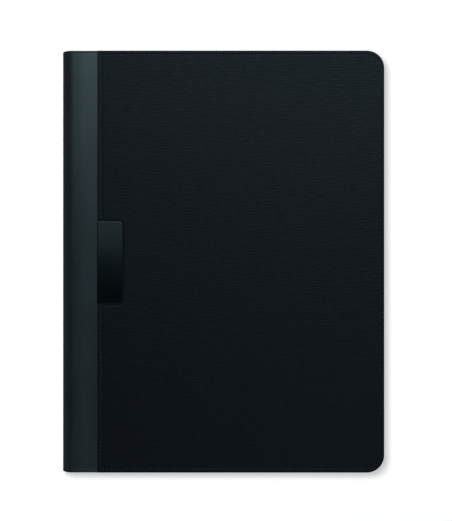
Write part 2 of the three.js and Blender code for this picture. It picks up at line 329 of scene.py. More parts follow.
def grid_mesh(name, points, outward, closed=False):
    """A smooth sheet over a grid of points. outward is True where its face points along du x dv."""
    rows, columns = points.shape[:2]
    index = np.arange(rows * columns).reshape(rows, columns)
    if closed:
        index = np.vstack([index, index[:1]])
    quads = np.stack([index[:-1, :-1], index[1:, :-1], index[1:, 1:], index[:-1, 1:]], axis=-1).reshape(-1, 4)
    if not outward:
        quads = quads[:, ::-1]
    return mesh_piece(name, points.reshape(-1, 3).tolist(), quads.tolist(), len(quads))


def thicken(piece, thickness, soften=0.0):
    """Gives a sheet its thickness behind its face, with its cut edges softened."""
    wall = piece.modifiers.new("Thickness", "SOLIDIFY")
    wall.thickness = thickness
    wall.offset = -1
    if soften:
        edge = piece.modifiers.new("Edges", "BEVEL")
        edge.width = soften
        edge.segments = 2
        edge.limit_method = "ANGLE"
        edge.angle_limit = math.radians(50)
        edge.harden_normals = False
    return piece


def finish_piece(piece, material, slot, body, *nodes):
    """Gives a piece its material, the nodes that it stands for and the body that it rides on. slot is not
    used.
    """
    piece.data.materials.append(material)
    if nodes:
        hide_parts(*nodes)
    if body:
        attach(piece, body)
    return piece


def cover_of(front):
    """The body that one cover's pieces ride on."""
    return "front_cover" if front else "back_cover"


def coat_node(name, material):
    """Gives a carried-over solid its material."""
    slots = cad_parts[name].data.materials
    slots.clear()
    slots.append(material)


# Materials

def principled(name, colour, roughness, **sockets):
    """A new material and the parts that its nodes are joined to."""
    material = bpy.data.materials.new(name)
    material.use_nodes = True
    tree = material.node_tree
    shader = tree.nodes["Principled BSDF"]
    shader.inputs["Base Color"].default_value = (*colour, 1)
    shader.inputs["Roughness"].default_value = roughness
    for label, value in sockets.items():
        shader.inputs[label.replace("_", " ")].default_value = value
    return material, tree, shader


def feed(tree, socket, value):
    """Joins another node's socket to a socket, or sets its value."""
    if isinstance(value, bpy.types.NodeSocket):
        tree.links.new(value, socket)
    else:
        socket.default_value = value


def node_of(tree, kind, settings=None, **inputs):
    """A new node with its settings, and with some of its inputs set or joined."""
    node = tree.nodes.new(kind)
    for name, value in (settings or {}).items():
        setattr(node, name, value)
    for label, value in inputs.items():
        feed(tree, node.inputs[label.replace("_", " ")], value)
    return node


def object_place(tree):
    """Object coordinates, in metres."""
    return node_of(tree, "ShaderNodeTexCoord").outputs["Object"]


def mapped(tree, scale, rotation=(0, 0, 0)):
    """Object coordinates, scaled to a pattern's repeats in each metre."""
    place = object_place(tree)
    return node_of(tree, "ShaderNodeMapping", Scale=scale, Rotation=rotation, Vector=place).outputs["Vector"]


def coordinate(tree, axis):
    """One of the object coordinates."""
    return node_of(tree, "ShaderNodeSeparateXYZ", Vector=object_place(tree)).outputs[axis]


def shaded(colour, share):
    """A darker or lighter shade of a colour."""
    return tuple(min(1, c * share) for c in colour)


def noise_of(tree, vector, detail=2.0, roughness=0.5):
    """Fractal noise."""
    inputs = {"Scale": 1, "Detail": detail, "Roughness": roughness, "Distortion": 0}
    return node_of(tree, "ShaderNodeTexNoise", Vector=vector, **inputs).outputs["Fac"]


def wave_of(tree, vector, distortion, detail_scale):
    """Uneven bands across the first coordinate."""
    inputs = {"Scale": 1, "Distortion": distortion, "Detail": 1, "Detail_Scale": detail_scale}
    settings = {"wave_type": "BANDS", "bands_direction": "X", "wave_profile": "SIN"}
    return node_of(tree, "ShaderNodeTexWave", settings, Vector=vector, **inputs).outputs["Fac"]


def calculate(tree, operation, first, second):
    """The result of a Math node's operation on two values or sockets."""
    node = tree.nodes.new("ShaderNodeMath")
    node.operation = operation
    feed(tree, node.inputs[0], first)
    feed(tree, node.inputs[1], second)
    return node.outputs["Value"]


def ramp(tree, factor, low, high, from_value=0.0, to_value=1.0):
    """Maps a factor between low and high to a value between two others."""
    inputs = {"From_Min": low, "From_Max": high, "To_Min": from_value, "To_Max": to_value}
    settings = {"interpolation_type": "SMOOTHSTEP"}
    return node_of(tree, "ShaderNodeMapRange", settings, Value=factor, **inputs).outputs["Result"]


def mixed(tree, factor, first, second):
    """A value between two others."""
    settings = {"data_type": "FLOAT"}
    return node_of(tree, "ShaderNodeMix", settings, Factor=factor, A=first, B=second).outputs["Result"]


def coloured(tree, shader, factor, dark, light):
    """Joins a factor to the base colour, between two colours."""
    settings = {"data_type": "RGBA"}
    node = node_of(tree, "ShaderNodeMix", settings, Factor=factor, A=(*dark, 1), B=(*light, 1))
    tree.links.new(node.outputs["Result"], shader.inputs["Base Color"])


def bumped(tree, shader, height, distance):
    """Raises the surface by a height, over a distance in metres."""
    node = node_of(tree, "ShaderNodeBump", Distance=distance, Strength=1, Height=height)
    tree.links.new(node.outputs["Normal"], shader.inputs["Normal"])


def covering_material(finish):
    """Linen-like grain: irregular threads across the page, with patches where they run up it."""
    colour = tuple(finish.covering)
    material, tree, shader = principled("grained_covering", colour, 0.5, Specular_IOR_Level=0.18)
    lines = 1 / finish.grain_pitch
    across = noise_of(tree, mapped(tree, (lines * 0.13, lines, lines)), 2, 0.5)
    up = noise_of(tree, mapped(tree, (lines, lines * 0.13, lines)), 2, 0.5)
    patches = ramp(tree, noise_of(tree, mapped(tree, (lines * 0.2,) * 3), 2), 0.52, 0.66, 0.18, 0.75)
    threads = mixed(tree, patches, across, up)
    fine = noise_of(tree, mapped(tree, (lines * 1.6, lines * 3.2, lines * 3)), 2)
    height = calculate(tree, "ADD", threads, calculate(tree, "MULTIPLY", fine, 0.25))
    bumped(tree, shader, height, 0.0004)
    coloured(tree, shader, ramp(tree, threads, 0.35, 0.68), shaded(colour, 0.55), shaded(colour, 1.7))
    tree.links.new(ramp(tree, threads, 0.35, 0.65, 0.58, 0.46), shader.inputs["Roughness"])
    return material


def leather_material(name, colour, roughness, crown=0.0):
    """Smooth leatherette: a fine close grain, a soft sheen and, beside the spine, a slight crown."""
    material, tree, shader = principled(name, colour, roughness, Specular_IOR_Level=0.53, Sheen_Weight=0.03)
    pores = noise_of(tree, mapped(tree, (1500, 1500, 1500)), 3, 0.6)
    cloud = noise_of(tree, mapped(tree, (60, 25, 60)), 3)
    height = calculate(tree, "ADD", pores, calculate(tree, "MULTIPLY", cloud, 0.8))
    height = calculate(tree, "MULTIPLY", height, 0.00006)
    if crown:
        bow = ramp(tree, coordinate(tree, "X"), ROLL_X - 0.024, ROLL_X + 0.0084, 0, crown)
        height = calculate(tree, "ADD", height, bow)
    bumped(tree, shader, height, 1.0)
    coloured(tree, shader, cloud, shaded(colour, 0.75), shaded(colour, 1.3))
    blur = ramp(tree, cloud, 0.3, 0.7, roughness - 0.03, roughness + 0.05)
    tree.links.new(blur, shader.inputs["Roughness"])
    return material


def cloth_material(name, colour, threads=2200):
    """A fine plain weave."""
    material, tree, shader = principled(name, colour, 0.85, Sheen_Weight=0.25, Sheen_Roughness=0.5)
    warp = wave_of(tree, mapped(tree, (threads, threads, threads)), 0.6, 0.5)
    weft = wave_of(tree, mapped(tree, (threads, threads, threads), (0, 0, math.pi / 2)), 0.6, 0.5)
    weave = calculate(tree, "MAXIMUM", warp, weft)
    bumped(tree, shader, weave, 0.00008)
    soft = noise_of(tree, mapped(tree, (90, 90, 90)), 3)
    shade = calculate(tree, "MULTIPLY", weave, soft)
    coloured(tree, shader, shade, shaded(colour, 0.6), shaded(colour, 1.9))
    return material


def plate_material(finish):
    """Polished plastic with the faint unevenness of a moulded face."""
    roughness = finish.plate_roughness
    material, tree, shader = principled("gloss_plate", (0.0016, 0.0030, 0.0038), roughness)
    swell = noise_of(tree, mapped(tree, (45, 45, 45)), 1)
    bumped(tree, shader, swell, 0.00002)
    tree.links.new(ramp(tree, swell, 0.2, 0.8, roughness, roughness + 0.02), shader.inputs["Roughness"])
    return material


def thread_material(name, colour, specular):
    """Twisted thread."""
    material, tree, shader = principled(name, colour, 0.6, Specular_IOR_Level=specular)
    twist = wave_of(tree, mapped(tree, (2600, 2600, 2600), (0, 0, math.radians(35))), 0.5, 1)
    bumped(tree, shader, twist, 0.00008)
    coloured(tree, shader, twist, shaded(colour, 0.6), shaded(colour, 1.5))
    return material


def paper_material(name, colour, ruled):
    """Writing paper, with faint blue rules up the page where ruled."""
    material, tree, shader = principled(name, colour, 0.75)
    fibre = noise_of(tree, mapped(tree, (900, 900, 2600)), 4, 0.7)
    bumped(tree, shader, fibre, 0.00003)
    if not ruled:
        coloured(tree, shader, fibre, shaded(colour, 0.9), colour)
        return material
    from_head = calculate(tree, "SUBTRACT", SHEETS[1][1] - HEAD_MARGIN, coordinate(tree, "Y"))
    repeats = calculate(tree, "FRACT", calculate(tree, "DIVIDE", from_head, RULE_SPACING), 0.0)
    on_line = calculate(tree, "LESS_THAN", repeats, RULE_SHARE)
    below_head = calculate(tree, "GREATER_THAN", from_head, -0.0001)
    rule = calculate(tree, "MULTIPLY", on_line, below_head)
    coloured(tree, shader, rule, colour, RULE_COLOUR)
    return material


def board_material(name, colour):
    """Grey board or chipboard: pressed fibres with flecks."""
    material, tree, shader = principled(name, colour, 0.9)
    fibre = noise_of(tree, mapped(tree, (700, 350, 1400)), 4, 0.7)
    flecks = ramp(tree, noise_of(tree, mapped(tree, (2600, 1300, 2600)), 1), 0.62, 0.74)
    bumped(tree, shader, fibre, 0.00008)
    shade = calculate(tree, "SUBTRACT", fibre, calculate(tree, "MULTIPLY", flecks, 0.35))
    coloured(tree, shader, shade, shaded(colour, 0.6), shaded(colour, 1.35))
    return material


def elastic_material():
    """Ribbed elastic: cords along the tape, wrapped by a fine weft."""
    colour = (0.012, 0.012, 0.013)
    material, tree, shader = principled("elastic", colour, 0.8, Sheen_Weight=0.3, Sheen_Roughness=0.5)
    weft = wave_of(tree, mapped(tree, (2400, 2400, 2400)), 1, 1)
    bumped(tree, shader, weft, 0.0001)
    coloured(tree, shader, weft, shaded(colour, 0.5), shaded(colour, 1.8))
    return material


MATERIALS = {}


def material_of(name):
    """The finish of that name, made once."""
    if name not in MATERIALS:
        finish = bpy.context.scene.padfolio_finish
        makers = {
            "covering": lambda: covering_material(finish),
            "band": lambda: leather_material("smooth_band", tuple(finish.band), 0.3, 0.0038),
            "pocket": lambda: leather_material("pocket_sheet", tuple(finish.band), 0.5),
            "lining": lambda: cloth_material("lining_cloth", tuple(finish.lining)),
            "tape": lambda: cloth_material("binding_cloth", tuple(finish.lining), 3000),
            "plate": lambda: plate_material(finish),
            "thread": lambda: thread_material("thread", tuple(finish.thread), 0.5),
            # A darker, less glossy copy of the thread for the band's seams: painted shade of their groove
            # against the bright band.
            "painted_shade_thread": lambda: thread_material("painted_shade_thread", (0.003, 0.004, 0.005), 0.1),
            "top_sheet": lambda: paper_material("ruled_paper", tuple(finish.paper), True),
            "paper": lambda: paper_material("paper", tuple(finish.paper), False),
            "board": lambda: board_material("cover_board", (0.20, 0.18, 0.155)),
            "backing": lambda: board_material("backing_card", (0.30, 0.235, 0.16)),
            "elastic": elastic_material,
        }
        MATERIALS[name] = makers[name]()
    return MATERIALS[name]


# Grained covering

def plate_seat(x, y):
    """How deep the plate's pressed edge pulls the covering in beside it."""
    middle, half = (PLATE[0][1] + PLATE[1][1]) / 2, (PLATE[1][1] - PLATE[0][1]) / 2
    beside = np.maximum(x - (PLATE[1][0] - PLATE_CORNER), 0)
    past_end = np.maximum(np.abs(y - middle) - (half - PLATE_CORNER), 0)
    outside = np.hypot(beside, past_end) - PLATE_CORNER
    return bump_at(outside - SEAT_OFFSET, SEAT_WIDTH) * SEAT_DEPTH


def covering_lines(seams, front):
    """Grid lines of a covering across and up the page, close together at its edges, seams and seat."""
    before_seam, past_seam, page_start, corner_start, corner_step = 0.0014, 0.0055, 0.008, 0.0068, 0.0009
    edge = edge_lines(RIM, HEM_FACE, HEM_WIDTH)
    rounded = spread(corner_start, CORNER_RADIUS, corner_step)
    corner = [corner_start, *rounded, CORNER_RADIUS]
    reach = [*edge[:-1], RIM, before_seam, *seam_lines(seams.inset), past_seam, *corner]
    cut_edge = [0, 0.00008, 0.0002, 0.00035, 0.0005, 0.0008, 0.0012]
    left = [*cut_edge, *seam_lines(seams.side_inset), past_seam, page_start]
    px = lines_between(COVERING_X, left, FORE_X, reach)
    py = lines_between(-HALF_HEIGHT, reach, HALF_HEIGHT, reach)
    if front:
        around = np.linspace(-PLATE_CORNER - 0.0005, 0.002, 12)
        px = np.sort(np.append(px, PLATE[1][0] + around))
        py = np.sort(np.concatenate([py, PLATE[1][1] + around, PLATE[0][1] - around]))
    return np.meshgrid(px, py, indexing="ij")


def covering_piece(name, front):
    """One cover's covering: turned round three edges of the board, lapped over the band at the fourth."""
    seams = bpy.context.scene.padfolio_seams
    px, py = covering_lines(seams, front)

    def profile(q):
        return turned_edge(q, RIM, HEM_FACE)

    x, y, depth, q = page_grid(px, py, FORE_X, HALF_HEIGHT, CORNER_RADIUS, profile)
    from_left = px - COVERING_X
    groove = bump_at(np.minimum(q - seams.inset, from_left - seams.side_inset), SEAM_WIDTH) * seams.groove
    lapped = np.clip(LAP_ROUNDING - from_left, 0, LAP_ROUNDING)
    edge_drop = (LAP_ROUNDING - np.sqrt(LAP_ROUNDING**2 - lapped**2)) * LAP_FALL
    seat = plate_seat(px, py) if front else 0
    depth = depth + (np.maximum(groove, seat) + edge_drop) * smooth(q / RIM)
    piece = grid_mesh(name, placed(x, y, depth, front), front)
    thicken(piece, SHEET, soften=0.00008)
    side = "front" if front else "back"
    return finish_piece(piece, material_of("covering"), "grained_covering", f"{side}_cover", f"{side}_panel")


class PADFOLIO_OT_coverings(bpy.types.Operator):
    """Make the grained coverings of both covers"""

    bl_idname = "padfolio.coverings"
    bl_label = "Coverings"

    def execute(self, context):
        covering_piece("front_covering", True)
        covering_piece("back_covering", False)
        return {"FINISHED"}


# Spine band and lining

def roll_path(angles, radius):
    """Points and inward directions round the roll, for the back half, in X and depth."""
    points = np.stack([ROLL_X - radius * np.sin(angles), ROLL_Z - radius * np.cos(angles)], axis=-1)
    inward = np.stack([np.sin(angles), np.cos(angles)], axis=-1)
    return points, inward


def roll_pull(x):
    """How far the stitched ends of the roll draw in, growing to the spine."""
    across = np.clip((ROLL_X - x) / ROLL_RADIUS, 0, 1)
    return ROLL_PULL * across**3


def band_path():
    """The band's outer face: from its lapped end, over the board and round the roll to the spine's middle."""
    flat = np.array([COVERING_X + LAP, COVERING_X + 0.0006, COVERING_X - 0.0001,
                     *spread(COVERING_X, BOARD_X, 0.002), BOARD_X, BOARD_X - 0.0006, BOARD_X - 0.0011])
    points, inward = roll_path(np.linspace(0, math.pi / 2, 31), ROLL_RADIUS)
    lead = np.stack([flat, np.full_like(flat, BAND_FACE)], axis=-1)
    lead_inward = np.tile([0.0, 1.0], (len(flat), 1))
    return np.vstack([lead, points]), np.vstack([lead_inward, inward])


def band_depth(x):
    """How thick the band's turned ends are: round the board, under the covering, and doubled on the roll."""
    wrap = HEM_FACE - BAND_FACE
    lapped = wrap - 2 * SHEET
    doubled = BAND_THICKNESS + BAND_HEM
    on_board = np.where(x > COVERING_X, lapped, wrap)
    return doubled + (on_board - doubled) * smooth((x - ROLL_X) / (BOARD_X - ROLL_X))


def band_piece(name, front, nodes):
    """Half of the band, from under one covering to the middle of the spine."""
    seams = bpy.context.scene.padfolio_seams
    path, inward = band_path()
    edge = edge_lines(BAND_RIM, HEM_FACE - BAND_FACE, HEM_WIDTH)
    reach = [*edge[:-1], BAND_RIM, *seam_lines(seams.band_inset, 9, 0.0008), 0.0035, 0.006, 0.009]
    lines = lines_between(-BAND_END, reach, BAND_END, reach)
    u, py = np.meshgrid(np.arange(len(path)), lines, indexing="ij")
    base_x, base_depth = path[u, 0], path[u, 1]
    q = BAND_END - np.abs(py)
    inset, down = turned_edge(q, BAND_RIM, band_depth(base_x))
    groove = bump_at(q - seams.band_inset, FINE_SEAM_WIDTH) * seams.groove * BAND_GROOVE
    down = down + groove * smooth(q / BAND_RIM)
    x = base_x + inward[u, 0] * down
    depth = base_depth + inward[u, 1] * down
    y = np.sign(py) * (BAND_END - inset - roll_pull(base_x))
    piece = grid_mesh(name, placed(x, y, depth, front), not front)
    thicken(piece, BAND_SHEET)
    finish_piece(piece, material_of("band"), "smooth_band", None, *nodes)
    return blend_round(piece)


def blend_round(piece):
    """Bakes a piece's placement into its mesh."""
    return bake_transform(piece)


class PADFOLIO_OT_band(bpy.types.Operator):
    """Make the smooth band round the spine, in two halves"""

    bl_idname = "padfolio.band"
    bl_label = "Spine band"

    def execute(self, context):
        band_piece("band_front", True, ["front_band"])
        band_piece("band_back", False, ["back_band", "spine_band"])
        return {"FINISHED"}


def flat_profile(q):
    """An edge that isn't turned."""
    return q, np.zeros_like(q)


def ridge_share(q):
    """1 on the ridge that the hems make round a cover's inside and 0 within it, for a distance q."""
    from_edge = q + (HALF_HEIGHT - LINING_HALF)
    return smooth((RIDGE_INSET + RIDGE_SLOPE / 2 - from_edge) / RIDGE_SLOPE)


def lining_piece(name, front, nodes):
    """One cover's lining: over the board and its hems, and round the roll to the middle of the spine."""
    edge = [0, 0.0002, 0.0006, 0.0012, 0.0020, 0.0030, 0.0042, 0.0052]
    slope = [RIDGE_INSET - 0.0016 + v for v in np.linspace(-0.0012, 0.0012, 7)]
    radius = CORNER_RADIUS - (FORE_X - LINING_FORE)
    reach = [*edge, *slope, *spread(slope[-1], radius, 0.001), radius]
    page_x = lines_between(BOARD_X, [0], LINING_FORE, reach)
    lines = lines_between(-LINING_HALF, reach, LINING_HALF, reach)
    px, py = np.meshgrid(page_x, lines, indexing="ij")
    x, y, _, q = page_grid(px, py, LINING_FORE, LINING_HALF, radius, flat_profile)
    depth = LINING_FACE + (RIDGE_FACE - LINING_FACE) * ridge_share(q)
    page = np.stack([x, y, depth], axis=-1)
    points = np.vstack([page[::-1], lining_roll(lines)])
    piece = grid_mesh(name, placed(points[..., 0], points[..., 1], points[..., 2], front), front)
    thicken(piece, LINING_SHEET, soften=0.00008)
    finish_piece(piece, material_of("lining"), "lining_cloth", None, *nodes)
    return blend_round(piece)


def lining_roll(lines):
    """The lining's rows from the board's edge down and round the roll."""
    ramp_x = np.array([BOARD_X - 0.0004, BOARD_X - 0.0009])
    arc, _ = roll_path(np.linspace(0, math.pi / 2, 25), LINING_ROLL)
    foot_x, foot_depth = arc[0]
    share = smooth((BOARD_X - ramp_x) / (BOARD_X - foot_x))
    descent = np.stack([ramp_x, LINING_FACE + (foot_depth - LINING_FACE) * share], axis=-1)
    height = np.abs(lines)
    ridge = ridge_share(LINING_HALF - height)
    pulled = (height / LINING_HALF) ** 8
    rows = []
    for x, depth in np.vstack([descent, arc]):
        near = smooth((x - foot_x) / (BOARD_X - foot_x))
        y = np.sign(lines) * (height - roll_pull(x) * pulled)
        level = depth + (RIDGE_FACE - LINING_FACE) * (ridge * near)
        rows.append(np.stack([np.full_like(lines, x), y, level], axis=-1))
    return np.array(rows)


class PADFOLIO_OT_lining(bpy.types.Operator):
    """Make the lining cloth, in two halves"""

    bl_idname = "padfolio.lining"
    bl_label = "Lining"

    def execute(self, context):
        lining_piece("lining_front", True, ["front_lining"])
        lining_piece("lining_back", False, ["back_lining", "spine_lining"])
        return {"FINISHED"}


# Pockets

def pocket_depth(x, y, left, set_in, face):
    """Depth of a pocket's sheet: sewn down at its left, foot and fore-edge, and lifted between them."""
    seat, rise, side_rise = 0.0012, 0.0045, 0.0026
    from_edge = np.minimum(FORE_X - x, HALF_HEIGHT + y) - set_in
    from_left = x - left - seat
    on_ridge, on_lining = RIDGE_FACE + POCKET_SHEET, LINING_FACE + POCKET_SHEET
    lift_edge = on_ridge + (face - on_ridge) * smooth((from_edge - seat) / rise)
    lift_left = on_lining + (face - on_lining) * smooth(from_left / side_rise)
    return np.minimum(lift_edge, lift_left)


def pocket_piece(name, box, front, node, face, thumb=0.0):
    """A page-wide pocket with a folded mouth, or a round cut for the thumb where thumb is its radius."""
    (left, foot, _), (fore, mouth, _) = box
    set_in = FORE_X - fore
    radius = CORNER_RADIUS - set_in
    near = [0, 0.0003, 0.0008, 0.0014, 0.0020, 0.0026, 0.0033, 0.0041, 0.0050, 0.0060, 0.0070]
    reach = [*near, *spread(near[-1], radius, 0.001), radius]
    middle = (left + FORE_X) / 2
    notch = []
    if thumb:
        notch = [middle + thumb * math.sin(a) for a in np.linspace(-math.pi / 2, math.pi / 2, 25)]
    page_x = np.sort([*lines_between(left, near, fore, reach), *notch])
    mouth_lines = [0, 0.0003, 0.0010, 0.0022, 0.0030, 0.0034, 0.0040, 0.0050]
    lines = lines_between(foot, reach, mouth, mouth_lines, 0.005)
    px, py = np.meshgrid(page_x, lines, indexing="ij")
    x, y, _, _ = page_grid(px, py, fore, -foot, radius, flat_profile)
    above = py > foot + radius
    y = np.where(above, py, y)
    x = np.where(above, px, x)
    hem = 0
    if thumb:
        cut = np.sqrt(np.maximum(thumb**2 - (x - middle) ** 2, 0))
        y = y - cut * smooth((y - (mouth - THUMB_FADE)) / THUMB_FADE)
    else:
        hem = np.where(py > mouth - POCKET_HEM, HEM_RISE, 0)
    seams = bpy.context.scene.padfolio_seams
    groove = bump_at(mouth - POCKET_HEM - py, FINE_SEAM_WIDTH) * seams.groove * POCKET_GROOVE
    depth = pocket_depth(x, y, left, set_in, face) + hem - groove
    piece = grid_mesh(name, placed(x, y, depth, front), not front)
    thicken(piece, POCKET_SHEET, soften=0.00012)
    return finish_piece(piece, material_of("pocket"), "pocket_sheet", cover_of(front), node)


def card_piece(name, box, node):
    """A card pocket on the front cover, sewn down at its foot and sides."""
    (left, foot, _), (right, mouth, _) = box
    seat, face = THICKNESS - box[1][2], THICKNESS - box[0][2]
    near = [0, 0.0003, 0.0009, 0.0016, 0.0024, 0.0032, 0.0042, 0.0055]
    page_x = lines_between(left, near, right, near, 0.005)
    x, y = np.meshgrid(page_x, lines_between(foot, near, mouth, near, 0.005), indexing="ij")
    from_edge = np.minimum(np.minimum(x - left, right - x), y - foot)
    depth = seat + CARD_SHEET + (face - seat - CARD_SHEET) * smooth((from_edge - 0.0014) / 0.003)
    centre, half = (left + right) / 2, (right - left) / 2
    dx = np.maximum(np.abs(x - centre) - (half - CARD_CORNER), 0)
    dy = np.maximum(foot + CARD_CORNER - y, 0)
    rounded = (dx > 0) & (dy > 0)
    shrink = np.where(rounded, np.maximum(dx, dy) / np.maximum(np.hypot(dx, dy), 1e-9), 1)
    x = np.where(rounded, np.sign(x - centre) * (half - CARD_CORNER + dx * shrink) + centre, x)
    y = np.where(rounded, foot + CARD_CORNER - dy * shrink, y)
    piece = grid_mesh(name, placed(x, y, depth, True), False)
    thicken(piece, CARD_SHEET, soften=0.0001)
    return finish_piece(piece, material_of("pocket"), "pocket_sheet", "front_cover", node)


class PADFOLIO_OT_pockets(bpy.types.Operator):
    """Make the pad pocket, the document pocket and the card pockets"""

    bl_idname = "padfolio.pockets"
    bl_label = "Pockets"

    def execute(self, context):
        face = PAD_POCKET[1][2]
        pocket_piece("pad_pocket_sheet", PAD_POCKET, False, "pad_pocket", face)
        face = THICKNESS - DOCUMENT[0][2]
        pocket_piece("document_pocket_sheet", DOCUMENT, True, "document_pocket", face, THUMB_RADIUS)
        card_piece("card_pocket_back_sheet", CARD_UPPER, "card_pocket_upper")
        card_piece("card_pocket_front_sheet", CARD_LOWER, "card_pocket_lower")
        return {"FINISHED"}


# Writing pad

def sheet_drop(y):
    """How far the sheets come down past the pocket's mouth."""
    bend = PAD_POCKET[1][1] + 0.0004
    return smooth((y - bend) / 0.0062) * (PAD_POCKET[1][2] - SHEETS[0][2])


def leaf_lines():
    """Grid lines up a leaf, close together where it comes down past the pocket's mouth."""
    foot, head = SHEETS[0][1], SHEETS[1][1]
    bend, settled = 0.056, 0.070
    low = [foot, *spread(foot, bend, 0.03), bend]
    high = [settled, *spread(settled, head, 0.03), head]
    return [*low, *spread(bend, settled, 0.001), *high]


def leaf_stack(name, first, count, leaf, seed, material):
    """Sheets of the pad, each a thin leaf that lies a little off its neighbours."""
    random = np.random.default_rng(seed)
    (left, foot, _), (right, _, _) = SHEETS
    lines = leaf_lines()
    vertices, faces = [], []
    for i in range(count):
        side = random.uniform(-0.00012, 0.00012)
        short = random.uniform(0, 0.00025)
        near, far = left + side + LEAF_PLAY, right + side - LEAF_PLAY
        bottom = first + i * leaf
        top = bottom + leaf * LEAF_SHARE
        base = len(vertices)
        for y in lines:
            drop = sheet_drop(y)
            at = y + short if y == foot else y
            for x, z in ((near, bottom), (far, bottom), (far, top), (near, top)):
                vertices.append((x, at, z - drop))
        for j in range(len(lines) - 1):
            a, b = base + 4 * j, base + 4 * (j + 1)
            faces += [(a + k, a + (k + 1) % 4, b + (k + 1) % 4, b + k) for k in range(4)]
        last = base + 4 * (len(lines) - 1)
        faces += [(base + 3, base + 2, base + 1, base), (last, last + 1, last + 2, last + 3)]
    return finish_piece(mesh_piece(name, vertices, faces), material, "paper", "back_cover")


def binding_piece():
    """The cloth tape, round the pad's head from the top sheet to the back of the backing board."""
    head = BINDING[1][1]
    front_end, back_end = BINDING[0][1], head - 0.012
    low, high = BINDING[0][2], BINDING[1][2]
    r = 0.0006
    turn = np.linspace(0, math.pi / 2, 6)
    path = [(front_end, high), *((y, high) for y in spread(front_end, head - r, 0.004))]
    path += [(head - r + r * math.sin(a), high - r + r * math.cos(a)) for a in turn]
    path += [(head - r + r * math.cos(a), low + r - r * math.sin(a)) for a in turn]
    path += [*((y, low) for y in spread(head - r, back_end, 0.004)), (back_end, low)]
    across = lines_between(SHEETS[0][0], [0], SHEETS[1][0], [0], 0.01)
    points = np.array([[(x, y, z) for x in across] for y, z in path])
    piece = grid_mesh("pad_tape", points, False)
    thicken(piece, TAPE_SHEET)
    return finish_piece(piece, material_of("tape"), "binding_tape", "back_cover", "pad_binding")


class PADFOLIO_OT_pad(bpy.types.Operator):
    """Make the pad's sheets and its tape, and finish its backing board"""

    bl_idname = "padfolio.pad"
    bl_label = "Writing pad"

    def execute(self, context):
        base = PAD_POCKET[1][2]
        leaf = (SHEETS[1][2] - base) / LEAF_COUNT
        block = leaf_stack("pad_leaves", base, LEAF_COUNT - 1, leaf, 5, material_of("paper"))
        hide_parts("pad_sheets")
        last = base + (LEAF_COUNT - 1) * leaf
        leaf_stack("pad_top_leaf", last, 1, leaf, 9, material_of("top_sheet"))
        binding_piece()
        coat_node("pad_backing", material_of("backing"))
        return {"FINISHED"}


def cord_ribs(y):
    """How far the elastic's face dips between its cords."""
    return LOOP_RIB * (np.abs(np.cos(y / LOOP[1][1] * math.pi * LOOP_CORDS / 2)) - 1)


class PADFOLIO_OT_pen_loop(bpy.types.Operator):
    """Make the ribbed elastic pen loop and its sewn foot"""

    bl_idname = "padfolio.pen_loop"
    bl_label = "Pen loop"

    def execute(self, context):
        low, high = LOOP
        middle_x, middle_z = (low[0] + high[0]) / 2, (low[2] + high[2]) / 2
        wide, tall, half = (high[0] - low[0]) / 2, (high[2] - low[2]) / 2, high[1]
        angle = np.linspace(0, 2 * math.pi, 64, endpoint=False)
        lines = np.linspace(-half, half, LOOP_CORDS * 6 + 1)
        a, y = np.meshgrid(angle, lines, indexing="ij")
        x = middle_x + (wide + cord_ribs(y)) * np.cos(a)
        z = middle_z + (tall + cord_ribs(y)) * np.sin(a)
        piece = grid_mesh("pen_loop_elastic", np.stack([x, y, z], axis=-1), True, closed=True)
        thicken(piece, LOOP_SHEET, soften=0.00012)
        finish_piece(piece, material_of("elastic"), "elastic", "back_cover", "pen_loop")
        foot_x = np.linspace(-0.0028, 0.0028, 15)
        x, y = np.meshgrid(middle_x + foot_x, lines, indexing="ij")
        z = low[2] + LOOP_SHEET + cord_ribs(y)
        foot = grid_mesh("pen_loop_foot", np.stack([x, y, z], axis=-1), True)
        thicken(foot, 0.0007, soften=0.00012)
        finish_piece(foot, material_of("elastic"), "elastic", "back_cover")
        return {"FINISHED"}


class PADFOLIO_OT_plate(bpy.types.Operator):
    """Make the glossy plate, nearly square beside the spine and rounded towards the page"""

    bl_idname = "padfolio.plate"
    bl_label = "Plate"

    def execute(self, context):
        near, far, rim = 0.0008, PLATE_CORNER, 0.0005
        low, high = PLATE
        corners = [
            (low[0] + near, low[1] + near, near, math.pi),
            (high[0] - far, low[1] + far, far, 1.5 * math.pi),
            (high[0] - far, high[1] - far, far, 0),
            (low[0] + near, high[1] - near, near, 0.5 * math.pi),
        ]
        turn = np.linspace(0, math.pi / 2, 17)
        centres = np.array([(cx, cy) for cx, cy, _, _ in corners for _ in turn])
        radii = np.repeat([r for _, _, r, _ in corners], len(turn))
        angles = np.array([start + t for _, _, _, start in corners for t in turn])
        rings = []
        for step in np.linspace(0, math.pi / 2, 6):
            rings.append((rim * (1 - math.cos(step)), high[2] - rim * (1 - math.sin(step))))
        levels = [(0.0, low[2]), *rings]
        outward = np.stack([np.cos(angles), np.sin(angles)], axis=-1)
        points = []
        for inset, z in levels:
            ring = centres + (radii - inset)[:, None] * outward
            points.append(np.column_stack([ring, np.full(len(ring), z)]))
        count = len(angles)
        faces = []
        for ring in range(len(levels) - 1):
            for i in range(count):
                j = (i + 1) % count
                a, b = ring * count, (ring + 1) * count
                faces.append((a + i, a + j, b + j, b + i))
        rounded = len(faces)
        top = (len(levels) - 1) * count
        faces.append(tuple(range(count))[::-1])
        faces.append(tuple(range(top, top + count)))
        piece = mesh_piece("front_plate_gloss", np.vstack(points).tolist(), faces, rounded)
        finish_piece(piece, material_of("plate"), "gloss_plate", "front_cover", "front_plate")
        return {"FINISHED"}


class PADFOLIO_OT_boards(bpy.types.Operator):
    """Finish the stiff boards inside the covers"""

    bl_idname = "padfolio.boards"
    bl_label = "Boards"

    def execute(self, context):
        for name in ("front_board", "back_board"):
            coat_node(name, material_of("board"))
        return {"FINISHED"}


# Stitching

